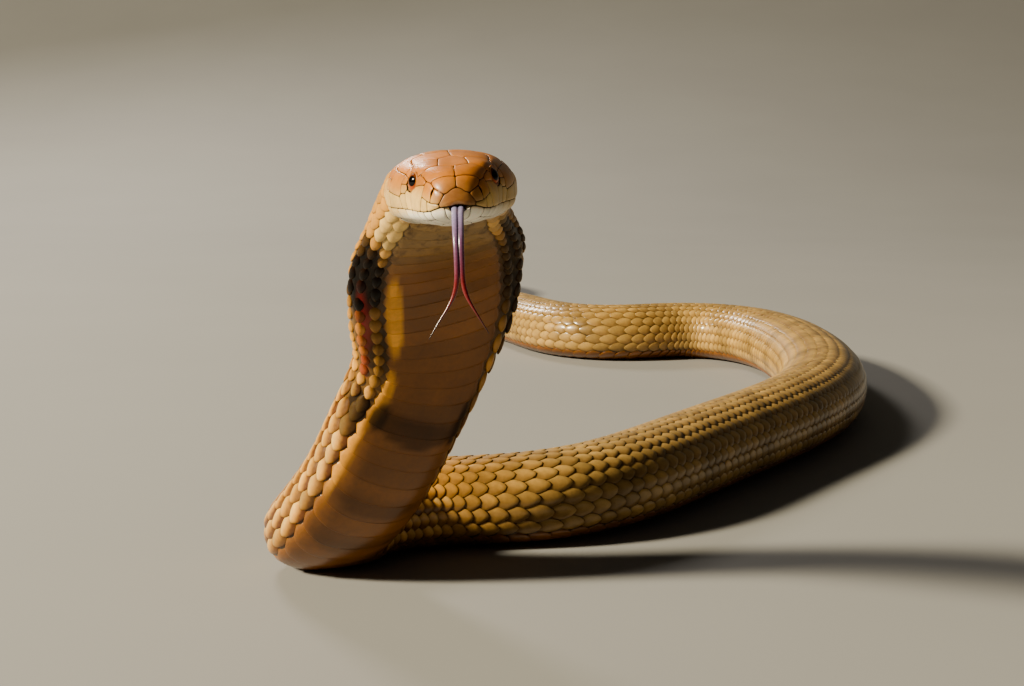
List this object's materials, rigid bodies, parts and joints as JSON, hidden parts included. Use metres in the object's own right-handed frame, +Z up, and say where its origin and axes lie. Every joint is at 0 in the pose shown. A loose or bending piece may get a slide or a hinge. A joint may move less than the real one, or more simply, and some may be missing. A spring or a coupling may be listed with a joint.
{
  "type": "king cobra",
  "caption": "Adult king cobra lying in a loop with its front raised, neck spread and forked tongue out; a still, life-size animal model.",
  "frame": {"origin": "middle of the box round the whole snake, on the floor it lies on", "axes": "-Y is the way the head faces, +Z is up, +X is to the left of the snake's head"},
  "size_m": [0.4529, 2.5491, 0.2203],
  "materials": {
    "hide": "satin",
    "eye": "gloss",
    "tongue": "satin"
  },
  "bodies": {
    "root": {"head": "hide", "lower_jaw": "hide", "eye_left": "eye", "eye_right": "eye", "tongue": "tongue", "hood_upper": "hide", "hood_lower": "hide", "raised_body": "hide", "base_bend": "hide", "near_body": "hide", "outward_body": "hide", "turn_front": "hide", "turn_back": "hide", "far_body": "hide", "rear_bend_a": "hide", "rear_bend_b": "hide", "rear_bend_c": "hide", "rear_bend_d": "hide", "vent_length": "hide", "tail_root": "hide", "tail_middle": "hide", "tail_tip": "hide"}
  },
  "joints": []
}
